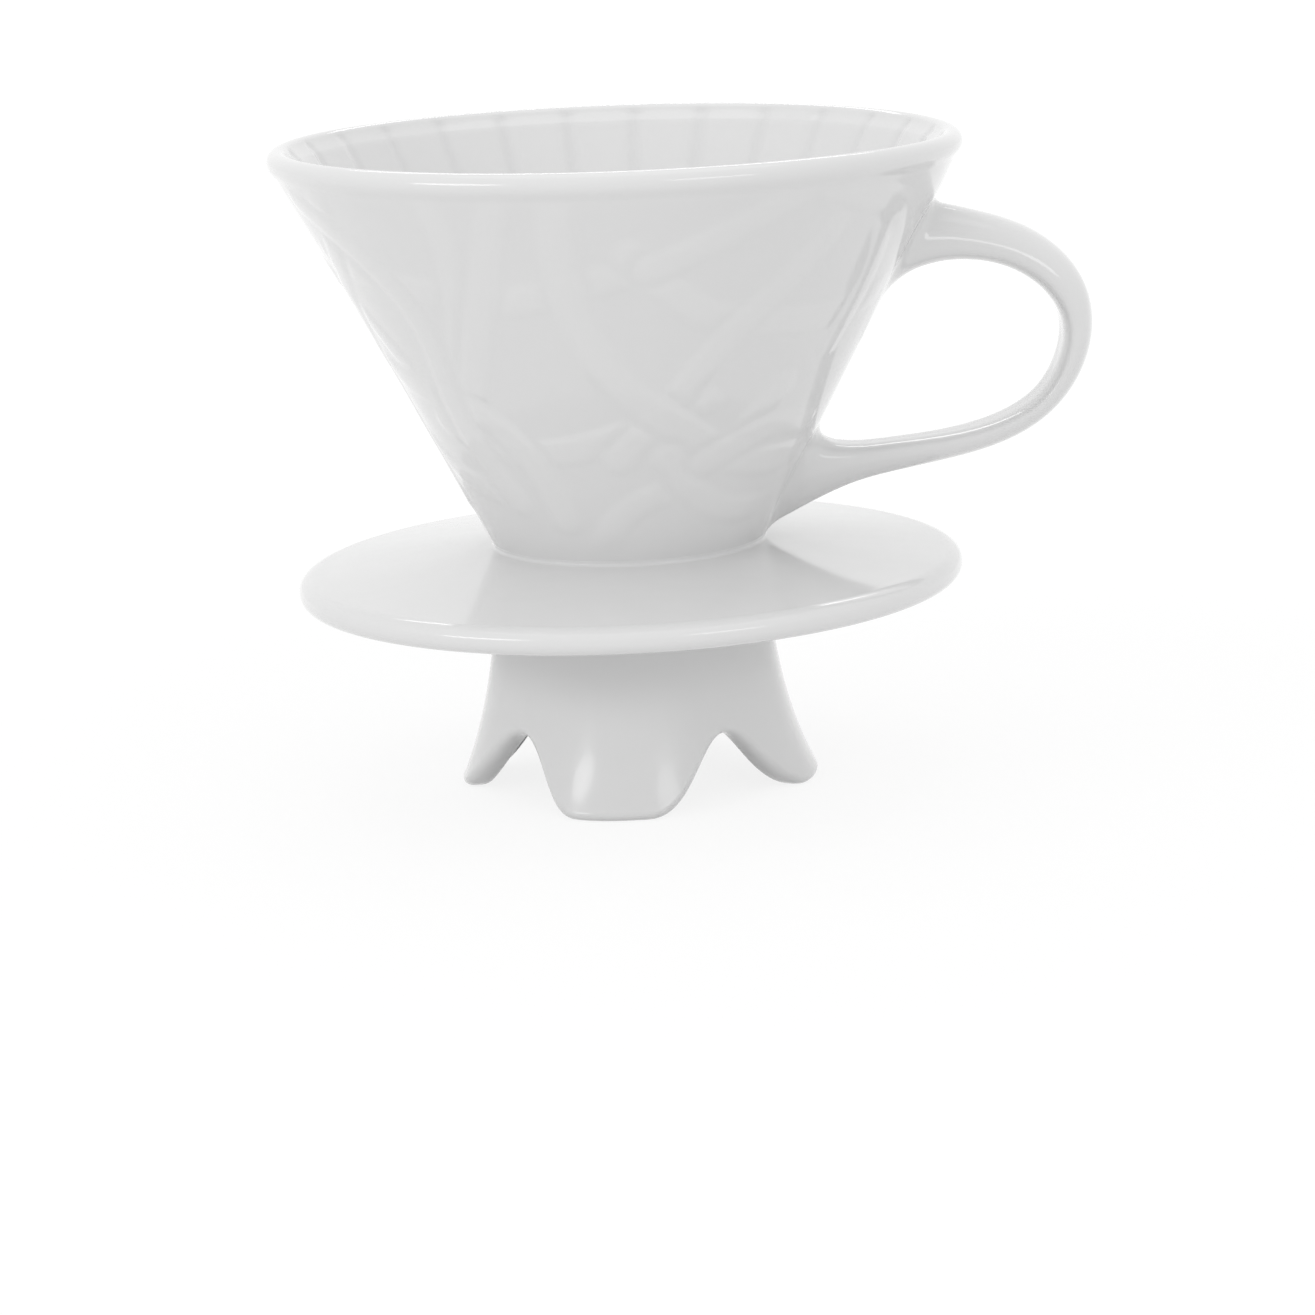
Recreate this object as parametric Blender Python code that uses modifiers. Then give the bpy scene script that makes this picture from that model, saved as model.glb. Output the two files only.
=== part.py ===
"""Pour-over coffee dripper in glazed porcelain.

A fluted cone bowl stands through a drip saucer, with a turned outlet spout under
its hole, a strap handle on its side and a skirt with four feet under the saucer.
The pieces are luted together with slip and fired, so nothing on it moves.

Metres, +Z up. z = 0 is the plane the feet stand on, and +X points to the handle.
"""
import math

import bmesh
import bpy
from mathutils import Matrix, Vector

# ---- driving dimensions -------------------------------------------------------

SEAT_GAP = 0.0003            # left between two pieces that touch

# bowl: a cone from the lip down to the outlet
LIP_RADIUS = 0.0580          # widest point of the rolled lip
LIP_ROUND = 0.0027           # radius of the roll
BOWL_HEIGHT = 0.0687         # rim top above the saucer's neck
NECK_RADIUS = 0.0230         # cone where it meets the saucer
LIP_OVERHANG = 0.0001        # how far the lip stands out of the cone
WALL_BOW = 0.0004            # how far the cone's side is drawn in at half height
WALL = 0.0046                # level thickness under a flute's valley
FLUTES = 28
FLUTE_DEPTH = 0.0010         # panel crest above the valley
FLUTE_TOP_DROP = 0.0075      # panels end this far below the rim
OUTLET_RADIUS = 0.0080

# outlet spout
SPOUT_WALL = 0.0042
SPOUT_LENGTH = 0.0085
SPOUT_ROUND = 0.0018

# drip saucer
SAUCER_RADIUS = 0.0566
SAUCER_EDGE = 0.0041         # thickness at the edge
SAUCER_RISE = 0.0036         # top surface climbs this much from edge to neck
NECK_FILLET = 0.0020
FILLET_TIP = 0.0005          # blunt top of the fillet, against the cone

# skirt and feet
SKIRT_HEIGHT = 0.0345        # feet to the skirt's top
SKIRT_KEY = 0.0006           # the top is let this deep into the saucer's underside
NECK_WALL = 0.0024           # skirt wall at its top
FOOT_WALL = 0.0048           # skirt wall at the feet
FOOT_FLARE = 0.0068          # how far the feet lean out
FEET = 4
FOOT_TURN = math.radians(-8)  # feet from the handle's plane
FOOT_HALF_ANGLE = math.radians(11)
ARCH_HEIGHT = 0.0127         # arches between the feet
PAD_TRIM = 0.0004            # ground off each foot to make its flat pad
ARCH_FACET = 0.92            # arch facets stand this far in, against the foot facets
EDGE_ROUND = 0.0021          # rounding of the skirt's lower edge

# strap handle
HANDLE_REACH = 0.0796        # axis to the outermost point of the strap
HANDLE_DROP = 0.0178         # rim top to the middle of the upper root
HANDLE_RISE = 0.0092         # neck to the middle of the lower root
STRAP_WIDTH = 0.0145         # along Y, at the outermost point
STRAP_THICKNESS = 0.0048     # at the outermost point

# mesh fineness
STEPS_PER_FLUTE = 5
WALL_LEVELS = 5
RING_STEPS = 84
SPOUT_STEPS = 40
SKIRT_COLUMNS = 72
SKIRT_ROWS = 7
STRAP_SPANS = 3
STRAP_POINTS = 18

# ---- derived places -----------------------------------------------------------

SAUCER_UNDER = SKIRT_HEIGHT + SEAT_GAP - SKIRT_KEY
NECK_Z = SAUCER_UNDER + SAUCER_EDGE + SAUCER_RISE
RIM_Z = NECK_Z + BOWL_HEIGHT
CONE_TOP_RADIUS = LIP_RADIUS - LIP_OVERHANG
CONE_SLOPE = (CONE_TOP_RADIUS - NECK_RADIUS) / (BOWL_HEIGHT - LIP_ROUND)
# the frame's origin is the middle of the whole object's box, on the standing plane
FRAME_SHIFT = Vector((-(HANDLE_REACH - LIP_RADIUS) / 2, 0, 0))


def cone_outside(z):
    """Radius of the cone's outer wall at height z."""
    up = min(max((z - NECK_Z) / BOWL_HEIGHT, 0), 1)
    return NECK_RADIUS + CONE_SLOPE * (z - NECK_Z) - WALL_BOW * math.sin(math.pi * up)


def cone_line(high, low, count, gap=0.0):
    """Points down the cone's outer wall, standing off it by a gap."""
    levels = [high + (low - high) * i / (count - 1) for i in range(count)]
    return [(cone_outside(z) + gap, z) for z in levels]


def cone_inside(z):
    """Radius of the cone's bore at height z, at the bottom of the flutes' valleys."""
    return cone_outside(z) - WALL


OUTLET_Z = NECK_Z - (NECK_RADIUS - WALL - OUTLET_RADIUS) / CONE_SLOPE

# ---- scene and shared tools ---------------------------------------------------

for old in list(bpy.data.objects):
    bpy.data.objects.remove(old, do_unlink=True)
parts = bpy.data.collections.new("pour_over_dripper")
cutters = bpy.data.collections.new("cutters")
for collection in (parts, cutters):
    bpy.context.scene.collection.children.link(collection)

frame = bpy.data.objects.new("dripper_frame", None)
frame.location = FRAME_SHIFT
parts.objects.link(frame)


def glaze(name, shade, roughness):
    """White glazed porcelain."""
    material = bpy.data.materials.new(name)
    material.use_nodes = True
    shader = material.node_tree.nodes["Principled BSDF"]
    shader.inputs["Base Color"].default_value = (shade, shade, shade * 0.99, 1)
    shader.inputs["Roughness"].default_value = roughness
    shader.inputs["Metallic"].default_value = 0
    return material


def new_object(name, bm, collection=parts):
    """Turn a bmesh into an object, parented to the dripper's frame."""
    mesh = bpy.data.meshes.new(name)
    bm.to_mesh(mesh)
    bm.free()
    obj = bpy.data.objects.new(name, mesh)
    collection.objects.link(obj)
    obj.parent = frame
    return obj


def turned(name, profile, steps, collection=parts):
    """Turn a closed profile of (radius, z) round Z with a Screw modifier."""
    bm = bmesh.new()
    ring = [bm.verts.new((radius, 0, z)) for radius, z in profile]
    on_axis = profile[0][0] == 0 and profile[-1][0] == 0
    for start, end in zip(ring, ring[1:] if on_axis else ring[1:] + ring[:1]):
        bm.edges.new((start, end))
    obj = new_object(name, bm, collection)
    screw = obj.modifiers.new("Screw", "SCREW")
    screw.steps = screw.render_steps = steps
    screw.use_merge_vertices = True
    screw.merge_threshold = 0.00001
    return obj


def cut(obj, cutter):
    """Take a hidden cutter out of a piece."""
    cutter.hide_render = True
    cutter.display_type = "WIRE"
    boolean = obj.modifiers.new("Cut " + cutter.name, "BOOLEAN")
    boolean.operation = "DIFFERENCE"
    boolean.solver = "EXACT"
    boolean.object = cutter


def applied(obj):
    """Bake an object's modifiers into its mesh."""
    evaluated = obj.evaluated_get(bpy.context.evaluated_depsgraph_get())
    mesh = bpy.data.meshes.new_from_object(evaluated)
    obj.modifiers.clear()
    obj.data = mesh


def finish(obj, material, sharp_angle):
    obj.data.materials.append(material)
    obj.data.shade_smooth()
    obj.data.set_sharp_from_angle(angle=math.radians(sharp_angle))


def arc(centre, radius, start, end, count):
    """Points on an arc in the (radius, z) plane, angles in degrees."""
    angles = [math.radians(start + (end - start) * i / (count - 1)) for i in range(count)]
    return [(centre[0] + radius * math.cos(a), centre[1] + radius * math.sin(a))
            for a in angles]


def slab(name, low_z, high_z, half_width):
    """A hidden box, for grinding a piece flat at a level."""
    bm = bmesh.new()
    bmesh.ops.create_cube(bm, size=1)
    size = Matrix.Diagonal((2 * half_width, 2 * half_width, high_z - low_z, 1))
    place = Matrix.Translation((0, 0, (low_z + high_z) / 2))
    bmesh.ops.transform(bm, matrix=place @ size, verts=bm.verts)
    return new_object(name, bm, cutters)


# ---- cone bowl ----------------------------------------------------------------

def make_cone_bowl():
    """Turned cone with a rolled lip, its inside pressed into 28 upright panels.

    The profile is turned with its inside at the panels' crests. Each point carries
    a flute weight, and the valleys are then pushed outwards by that share.
    """
    lip = (LIP_RADIUS - LIP_ROUND, RIM_Z - LIP_ROUND)
    flute_top = RIM_Z - FLUTE_TOP_DROP
    inner_lip = (cone_inside(flute_top), flute_top)
    profile = [(point, 0) for point in arc(lip, LIP_ROUND, 90, -30, 6)]
    wall = cone_line(RIM_Z - 2.6 * LIP_ROUND, NECK_Z, WALL_LEVELS)
    wall.append((cone_outside(OUTLET_Z), OUTLET_Z))
    profile += [(point, 0) for point in wall]
    # panels fade towards the outlet, where they run close together
    for share, weight in ((0, 0.0), (0.10, 0.45), (0.35, 0.85), (0.65, 1), (0.97, 1)):
        z = OUTLET_Z + (flute_top - OUTLET_Z) * share
        crest = cone_inside(z) - weight * FLUTE_DEPTH
        profile.append(((crest, z), weight))
    profile.append((inner_lip, 0))
    profile += [(point, 0) for point in arc(lip, LIP_ROUND, 195, 112, 4)]

    steps = FLUTES * STEPS_PER_FLUTE
    bowl = turned("cone_bowl", [point for point, weight in profile], steps)
    weights = bowl.vertex_groups.new(name="flutes")
    for index, (point, weight) in enumerate(profile):
        weights.add([index], weight, "REPLACE")
    applied(bowl)
    for vertex in bowl.data.vertices:
        press_flute(vertex)
    bowl.vertex_groups.clear()
    finish(bowl, glaze("bowl_glaze", 0.86, 0.10), 40)
    return bowl


def press_flute(vertex):
    """Crowd the turning steps into the valleys, and push the valleys outwards."""
    pitch = 2 * math.pi / FLUTES
    radius = math.hypot(vertex.co.x, vertex.co.y)
    turn = math.atan2(vertex.co.y, vertex.co.x)
    share = (turn / pitch) % 1.0
    crowded = share - 0.105 * math.sin(2 * math.pi * share)
    turn += (crowded - share) * pitch
    weight = vertex.groups[0].weight if len(vertex.groups) else 0.0
    from_valley = min(crowded, 1 - crowded)
    valley = math.exp(-(from_valley / 0.07) ** 2)
    crown = 0.15 * (1 - 2 * from_valley) ** 2
    radius += weight * FLUTE_DEPTH * max(valley, crown)
    vertex.co.x = radius * math.cos(turn)
    vertex.co.y = radius * math.sin(turn)


# ---- outlet spout -------------------------------------------------------------

def make_outlet_spout():
    """Short turned collar under the cone, which gathers the drips."""
    top = OUTLET_Z - SEAT_GAP
    bottom = top - SPOUT_LENGTH
    outer = OUTLET_RADIUS + SPOUT_WALL
    outer_round = (outer - SPOUT_ROUND, bottom + SPOUT_ROUND)
    inner_round = (OUTLET_RADIUS + SPOUT_ROUND / 2, bottom + SPOUT_ROUND / 2)
    profile = [(outer, top)]
    profile += arc(outer_round, SPOUT_ROUND, 0, -90, 5)
    profile += arc(inner_round, SPOUT_ROUND / 2, -90, -180, 3)
    profile.append((OUTLET_RADIUS, top))
    spout = turned("outlet_spout", profile, SPOUT_STEPS)
    finish(spout, glaze("spout_glaze", 0.84, 0.12), 40)
    return spout


# ---- drip saucer --------------------------------------------------------------

DISH_ANGLE = math.degrees(math.atan2(SAUCER_RISE, SAUCER_RADIUS - NECK_RADIUS))


def neck_fillet():
    """Concave glaze fillet from the cone's wall onto the saucer's sloping top."""
    high_z = NECK_Z + NECK_FILLET
    tip = cone_outside(high_z) + SEAT_GAP + FILLET_TIP
    return arc((tip + NECK_FILLET, high_z), NECK_FILLET, 180, 270 - DISH_ANGLE, 4)


def make_drip_saucer():
    """Round plate that sits on a mug, with a tapered hole that the cone fills.

    Its flat underside has a shallow round key, which the skirt's top is let into.
    """
    edge_round = SAUCER_EDGE / 2
    edge = (SAUCER_RADIUS - edge_round, SAUCER_UNDER + edge_round)
    fillet = neck_fillet()
    seat_high = fillet[0][0] - FILLET_TIP
    key_z = SAUCER_UNDER + SKIRT_KEY
    key_radius = skirt_top_distance() + 2 * SEAT_GAP
    seat_low = cone_outside(key_z) + SEAT_GAP
    profile = [(seat_high, fillet[0][1])] + fillet
    profile += arc(edge, edge_round, 90 - DISH_ANGLE, -90, 8)
    profile += [(key_radius, SAUCER_UNDER), (key_radius, key_z), (seat_low, key_z)]
    saucer = turned("drip_saucer", profile, RING_STEPS)
    finish(saucer, glaze("saucer_glaze", 0.86, 0.08), 40)
    return saucer


# ---- foot skirt ---------------------------------------------------------------

def skirt_radius(turn, scale):
    """Rounded many-sided section: a facet for each foot and for each arch."""
    sharpness = 22
    total = 0.0
    for side in range(2 * FEET):
        facing = math.cos(turn - FOOT_TURN - side * math.pi / FEET)
        distance = scale * (1.0 if side % 2 == 0 else ARCH_FACET)
        if facing > 0:
            total += (facing / distance) ** sharpness
    return total ** (-1 / sharpness)


def skirt_bottom(turn):
    """Height of the lower edge: zero along a foot, an arch between two feet."""
    spacing = 2 * math.pi / FEET
    from_foot = abs((turn - FOOT_TURN + spacing / 2) % spacing - spacing / 2)
    climb = (from_foot - FOOT_HALF_ANGLE) / (spacing / 2 - FOOT_HALF_ANGLE)
    climb = min(max(climb, 0.0), 1.0)
    return ARCH_HEIGHT * (1 - math.cos(math.pi * climb)) / 2


def skirt_top_distance():
    """Axis to a foot's facet at the top, where the arch facets just clear the cone."""
    return (cone_outside(SKIRT_HEIGHT) + SEAT_GAP + NECK_WALL) / ARCH_FACET


def make_foot_skirt():
    """Flared skirt under the saucer, scalloped into four feet that stand flat."""
    top_distance = skirt_top_distance()
    overrun = 2 * EDGE_ROUND
    bm = bmesh.new()
    wall = bm.verts.layers.deform.new()
    rings = []
    for row in range(SKIRT_ROWS + 1):
        down = row / SKIRT_ROWS
        ring = []
        for column in range(SKIRT_COLUMNS):
            turn = FOOT_TURN + 2 * math.pi * column / SKIRT_COLUMNS
            top = SKIRT_HEIGHT + overrun
            z = top + (skirt_bottom(turn) - PAD_TRIM - top) * down
            drop = min(max(1 - z / SKIRT_HEIGHT, 0.0), 1.0)
            radius = skirt_radius(turn, top_distance + FOOT_FLARE * drop ** 1.8)
            vertex = bm.verts.new((radius * math.cos(turn), radius * math.sin(turn), z))
            vertex[wall][0] = (NECK_WALL + (FOOT_WALL - NECK_WALL) * drop) / FOOT_WALL
            ring.append(vertex)
        rings.append(ring)
    for upper, lower in zip(rings, rings[1:]):
        for i in range(SKIRT_COLUMNS):
            j = (i + 1) % SKIRT_COLUMNS
            bm.faces.new((upper[i], lower[i], lower[j], upper[j]))
    skirt = new_object("foot_skirt", bm)
    skirt.vertex_groups.new(name="wall")
    solidify = skirt.modifiers.new("Wall", "SOLIDIFY")
    solidify.thickness = FOOT_WALL
    solidify.offset = -1
    solidify.vertex_group = "wall"
    rounding = skirt.modifiers.new("Rounding", "BEVEL")
    rounding.width = EDGE_ROUND
    rounding.segments = 3
    rounding.limit_method = "ANGLE"
    rounding.angle_limit = math.radians(60)
    cut(skirt, slab("skirt_top_trim", SKIRT_HEIGHT, SKIRT_HEIGHT + 0.02, SAUCER_RADIUS))
    cut(skirt, slab("foot_pad_trim", -0.02, 0, SAUCER_RADIUS))
    finish(skirt, glaze("skirt_glaze", 0.83, 0.12), 40)
    return skirt


# ---- strap handle -------------------------------------------------------------

def strap_stations():
    """Stations down the strap: centre x, centre z, width and thickness."""
    high = RIM_Z - HANDLE_DROP
    low = NECK_Z + HANDLE_RISE
    reach = HANDLE_REACH - STRAP_THICKNESS / 2
    root_high = cone_outside(high)
    root_low = cone_outside(low)
    width = STRAP_WIDTH
    thick = STRAP_THICKNESS
    # shares: from the upper root out to the reach, from the upper root down to the
    # lower one, then of the strap's width and thickness
    upper = [(-0.270, 0.062, 1.50, 2.90), (0.208, 0.010, 1.16, 1.76),
             (0.438, 0.032, 1.10, 1.60), (0.737, 0.111, 1.07, 1.40),
             (0.920, 0.232, 1.03, 1.31), (1.000, 0.401, 1.00, 1.00)]
    # the same, with the first share from the lower root
    lower = [(0.982, 0.536, 0.97, 0.92), (0.876, 0.729, 0.90, 0.88),
             (0.721, 0.826, 0.81, 0.92), (0.510, 0.891, 0.70, 0.98),
             (0.233, 0.932, 0.66, 1.29), (0.065, 0.960, 0.83, 2.46),
             (-0.130, 1.000, 1.00, 4.10)]
    stations = []
    for group, root in ((upper, root_high), (lower, root_low)):
        for out, down, wide, deep in group:
            x = root + (reach - root) * out
            z = high + (low - high) * down
            stations.append(Vector((x, z, width * wide, thick * deep)))
    return stations


def smooth_path(points, spans):
    """Catmull-Rom curve through the points, with a number of spans between two."""
    ends = [2 * points[0] - points[1]] + points + [2 * points[-1] - points[-2]]
    path = []
    for a, b, c, d in zip(ends, ends[1:], ends[2:], ends[3:]):
        for i in range(spans):
            t = i / spans
            path.append(0.5 * (2 * b + (c - a) * t + (2 * a - 5 * b + 4 * c - d) * t ** 2
                               + (3 * b - a - 3 * c + d) * t ** 3))
    return path + [points[-1]]


def strap_section(width, thickness):
    """D-shaped section: crowned outside, nearly flat inside, rounded edges."""
    section = []
    for i in range(STRAP_POINTS):
        angle = 2 * math.pi * i / STRAP_POINTS
        side = math.copysign(abs(math.cos(angle)) ** 0.8, math.cos(angle))
        rise = abs(math.sin(angle))
        out = 0.62 * rise ** 0.95 if math.sin(angle) >= 0 else -0.38 * rise ** 0.5
        section.append((side * width / 2, (out - 0.12) * thickness))
    return section


def handle_seat():
    """The cone's wall, the neck fillet and the saucer's top, all one gap proud."""
    top_z = RIM_Z + LIP_ROUND
    fillet = [(radius + SEAT_GAP, z + SEAT_GAP) for radius, z in neck_fillet()]
    foot_z = fillet[0][1]
    seat = [(0, top_z)] + cone_line(top_z, foot_z, WALL_LEVELS + 1, SEAT_GAP) + fillet
    seat += [(SAUCER_RADIUS, SAUCER_UNDER + SAUCER_EDGE + SEAT_GAP)]
    return seat + [(SAUCER_RADIUS, SAUCER_UNDER), (0, SAUCER_UNDER)]


def make_handle():
    """Strap handle lofted through D-shaped sections, trimmed to the cone."""
    path = smooth_path(strap_stations(), STRAP_SPANS)
    bm = bmesh.new()
    rings = []
    for i, station in enumerate(path):
        before, after = path[max(i - 1, 0)], path[min(i + 1, len(path) - 1)]
        along = Vector((after.x - before.x, after.y - before.y)).normalized()
        outward = Vector((-along.y, along.x))
        ring = []
        for side, out in strap_section(station.z, station.w):
            place = (station.x + outward.x * out, side, station.y + outward.y * out)
            ring.append(bm.verts.new(place))
        rings.append(ring)
    for near, far in zip(rings, rings[1:]):
        for i in range(STRAP_POINTS):
            j = (i + 1) % STRAP_POINTS
            bm.faces.new((near[i], near[j], far[j], far[i]))
    bm.faces.new(reversed(rings[0]))
    bm.faces.new(rings[-1])
    bmesh.ops.recalc_face_normals(bm, faces=bm.faces)
    handle = new_object("handle", bm)
    cut(handle, turned("handle_seat", handle_seat(), FLUTES * STEPS_PER_FLUTE, cutters))
    finish(handle, glaze("handle_glaze", 0.85, 0.10), 50)
    return handle


make_cone_bowl()
make_outlet_spout()
make_drip_saucer()
make_foot_skirt()
make_handle()
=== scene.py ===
import math

import bpy
import numpy as np
from mathutils import Matrix, Vector


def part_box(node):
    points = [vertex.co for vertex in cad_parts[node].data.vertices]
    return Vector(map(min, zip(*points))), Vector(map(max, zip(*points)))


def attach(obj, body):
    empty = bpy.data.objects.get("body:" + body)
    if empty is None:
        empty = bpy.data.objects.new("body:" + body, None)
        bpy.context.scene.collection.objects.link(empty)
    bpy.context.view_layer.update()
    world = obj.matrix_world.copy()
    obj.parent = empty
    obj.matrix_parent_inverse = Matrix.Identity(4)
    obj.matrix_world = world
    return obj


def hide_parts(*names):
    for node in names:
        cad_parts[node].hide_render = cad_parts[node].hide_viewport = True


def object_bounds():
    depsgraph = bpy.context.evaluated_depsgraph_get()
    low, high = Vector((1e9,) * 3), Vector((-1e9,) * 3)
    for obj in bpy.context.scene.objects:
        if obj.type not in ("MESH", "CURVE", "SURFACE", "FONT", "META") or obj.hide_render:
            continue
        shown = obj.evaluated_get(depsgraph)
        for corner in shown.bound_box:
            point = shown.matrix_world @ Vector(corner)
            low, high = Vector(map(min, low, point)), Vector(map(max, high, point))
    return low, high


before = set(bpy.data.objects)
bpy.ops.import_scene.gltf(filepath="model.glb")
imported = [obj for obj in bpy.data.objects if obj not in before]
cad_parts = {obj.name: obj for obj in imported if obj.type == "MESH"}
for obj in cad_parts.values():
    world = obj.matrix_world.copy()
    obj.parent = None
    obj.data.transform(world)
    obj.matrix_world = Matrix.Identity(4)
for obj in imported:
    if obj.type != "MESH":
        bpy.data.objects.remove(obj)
cad_low, cad_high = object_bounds()


# ---- cone bowl ------------------------------------------------------------------
# The filter cone: porcelain pressed in a plaster mould, which gives the outside its
# low relief of crossing bands, while the pressing head leaves 28 upright panels
# inside. The lip is rolled and sponged round before the glaze goes on.

bowl_low, bowl_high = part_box("cone_bowl")
saucer_low, saucer_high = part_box("drip_saucer")
axis = Vector(((bowl_low.x + bowl_high.x) / 2, (bowl_low.y + bowl_high.y) / 2, 0))
neck_fillet = 0.0020
neck_radius = 0.0230
neck_z = saucer_high.z - neck_fillet
rim_z, outlet_z = bowl_high.z, bowl_low.z
lip_radius = (bowl_high.x - bowl_low.x) / 2
lip_round = 0.0020
lip_inner_round = 0.0015
lip_drop = 0.0027
lip_overhang = 0.0003
wall = 0.0047
wall_bow = 0.0004
wall_lean = 0.0004
root_swell = 0.0007
swell_drop = 0.0098
swell_length = 0.0040
cone_slope = (lip_radius - lip_overhang - neck_radius) / (rim_z - lip_drop - neck_z)
outlet_radius = 0.0080
handle_drop = 0.0178
handle_rise = 0.0092

panels = 28
panel_shift = 0.33
panel_depth = 0.00045
panel_hollow = 0.15
valley_width = 0.10
steps_per_panel = 18

band_height = 0.00026
band_shoulder = 0.0021
band_points = 90
root_clear_wide = 0.0150
root_clear_tall = 0.0125
seam_wear = 0.75
# each pressed band: its width, then turn in degrees from the handle and height as a
# share of the wall; a later band lies over an earlier one
bands = [
    (0.0050, [(-160, 0.76), (-132, 0.71), (-110, 0.69), (-96, 0.73), (-78, 0.79)]),
    (0.0046, [(-124, 1.00), (-121, 0.84), (-123, 0.68), (-130, 0.50)]),
    (0.0050, [(-108, 1.00), (-114, 0.78), (-120, 0.62), (-128, 0.46), (-138, 0.28)]),
    (0.0052, [(-146, 0.36), (-127, 0.30), (-110, 0.30), (-88, 0.35), (-70, 0.42)]),
    (0.0046, [(-104, 0.00), (-92, 0.13), (-75, 0.20), (-60, 0.30), (-48, 0.44)]),
    (0.0050, [(-88, 0.80), (-72, 0.64), (-60, 0.61), (-40, 0.60), (-16, 0.66)]),
    (0.0046, [(-92, 0.28), (-80, 0.40), (-67, 0.58), (-52, 0.78), (-44, 1.00)]),
    (0.0056, [(-99, 1.02), (-100, 0.74), (-94, 0.52), (-82, 0.40), (-62, 0.28), (-26, 0.24)]),
    (0.0046, [(-78, 0.28), (-66, 0.17), (-48, 0.12), (-24, 0.14), (-6, 0.22)]),
    (0.0048, [(-84, 0.76), (-66, 0.87), (-50, 1.00)]),
    (0.0048, [(-66, 0.26), (-46, 0.33), (-30, 0.32)]),
    (0.0044, [(-40, 1.00), (-36, 0.86), (-32, 0.70), (-36, 0.52)]),
    (0.0050, [(-52, 0.92), (-34, 0.86), (-18, 0.72), (-12, 0.52)]),
    (0.0050, [(18, 0.84), (34, 0.72), (58, 0.70), (82, 0.78), (104, 0.92)]),
    (0.0046, [(14, 0.50), (30, 0.58), (52, 0.52), (70, 0.38), (78, 0.20)]),
    (0.0050, [(24, 1.00), (32, 0.80), (28, 0.56), (34, 0.34), (52, 0.18)]),
    (0.0052, [(-4, 0.20), (22, 0.16), (50, 0.24), (74, 0.30), (100, 0.26)]),
    (0.0046, [(62, 1.00), (66, 0.78), (62, 0.56), (72, 0.34), (96, 0.14)]),
    (0.0050, [(60, 0.62), (86, 0.58), (112, 0.66), (136, 0.64), (158, 0.52)]),
    (0.0056, [(92, 1.02), (96, 0.72), (108, 0.48), (130, 0.34), (168, 0.30)]),
    (0.0046, [(88, 0.44), (112, 0.30), (128, 0.16), (138, 0.00)]),
    (0.0050, [(126, 1.00), (134, 0.78), (132, 0.50), (142, 0.26), (160, 0.10)]),
    (0.0048, [(118, 0.88), (144, 0.86), (170, 0.78), (196, 0.66), (208, 0.50)]),
    (0.0046, [(160, 1.00), (166, 0.72), (176, 0.46), (196, 0.26), (226, 0.18)]),
    (0.0050, [(180, 0.56), (200, 0.46), (222, 0.42), (240, 0.30), (248, 0.12)]),
    (0.0050, [(214, 1.00), (206, 0.80), (194, 0.62), (186, 0.38), (190, 0.14)]),
    (0.0046, [(200, 0.90), (216, 0.78), (224, 0.60), (222, 0.38), (232, 0.16)]),
]


def smooth_through(points, count):
    """Points along a natural cubic spline, spaced by the first two of their numbers."""
    points = np.array(points, float)
    gaps = np.linalg.norm(np.diff(points[:, :2], axis=0), axis=1)
    knots = np.r_[0, np.cumsum(gaps)]
    system, pull = np.eye(len(points)), np.zeros_like(points)
    for i in range(1, len(gaps)):
        before, after = gaps[i - 1], gaps[i]
        system[i, i - 1:i + 2] = before, 2 * (before + after), after
        pull[i] = 6 * ((points[i + 1] - points[i]) / after
                       - (points[i] - points[i - 1]) / before)
    bend = np.linalg.solve(system, pull)
    places = np.linspace(0, knots[-1], count)
    span = np.clip(np.searchsorted(knots, places, side="right") - 1, 0, len(gaps) - 1)
    size = gaps[span][:, None]
    late = (places - knots[span])[:, None] / size
    early = 1 - late
    bow = (early ** 3 - early) * bend[span] + (late ** 3 - late) * bend[span + 1]
    return early * points[span] + late * points[span + 1] + bow * size ** 2 / 6


def smooth_step(value):
    """From 0 to 1 as value does, but level at both ends."""
    value = np.clip(value, 0, 1)
    return value * value * (3 - 2 * value)


def arc(centre, radius, start, end, count):
    """Points of (radius, z) on an arc, angles in degrees."""
    angle = np.radians(np.linspace(start, end, count))
    return np.stack([centre[0] + radius * np.cos(angle),
                     centre[1] + radius * np.sin(angle)], axis=-1)


def cone_radius(z):
    """Radius of the plain outer wall at a height."""
    up = np.clip((z - neck_z) / (rim_z - neck_z), 0, 1)
    return neck_radius + cone_slope * (z - neck_z) - wall_bow * np.sin(np.pi * up)


def wall_radius(turn, z):
    """The plain wall as it came from the kiln, drawn a little towards the handle."""
    up = np.clip((z - neck_z) / (rim_z - neck_z), 0, 1)
    leaning = wall_lean * np.cos(turn) * np.sin(np.pi * up) ** 2
    near_root = np.exp(-((z - rim_z + swell_drop) / swell_length) ** 2)
    swollen = root_swell * near_root * np.maximum(0, np.cos(turn)) ** 9
    return cone_radius(z) + leaning + swollen


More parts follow.
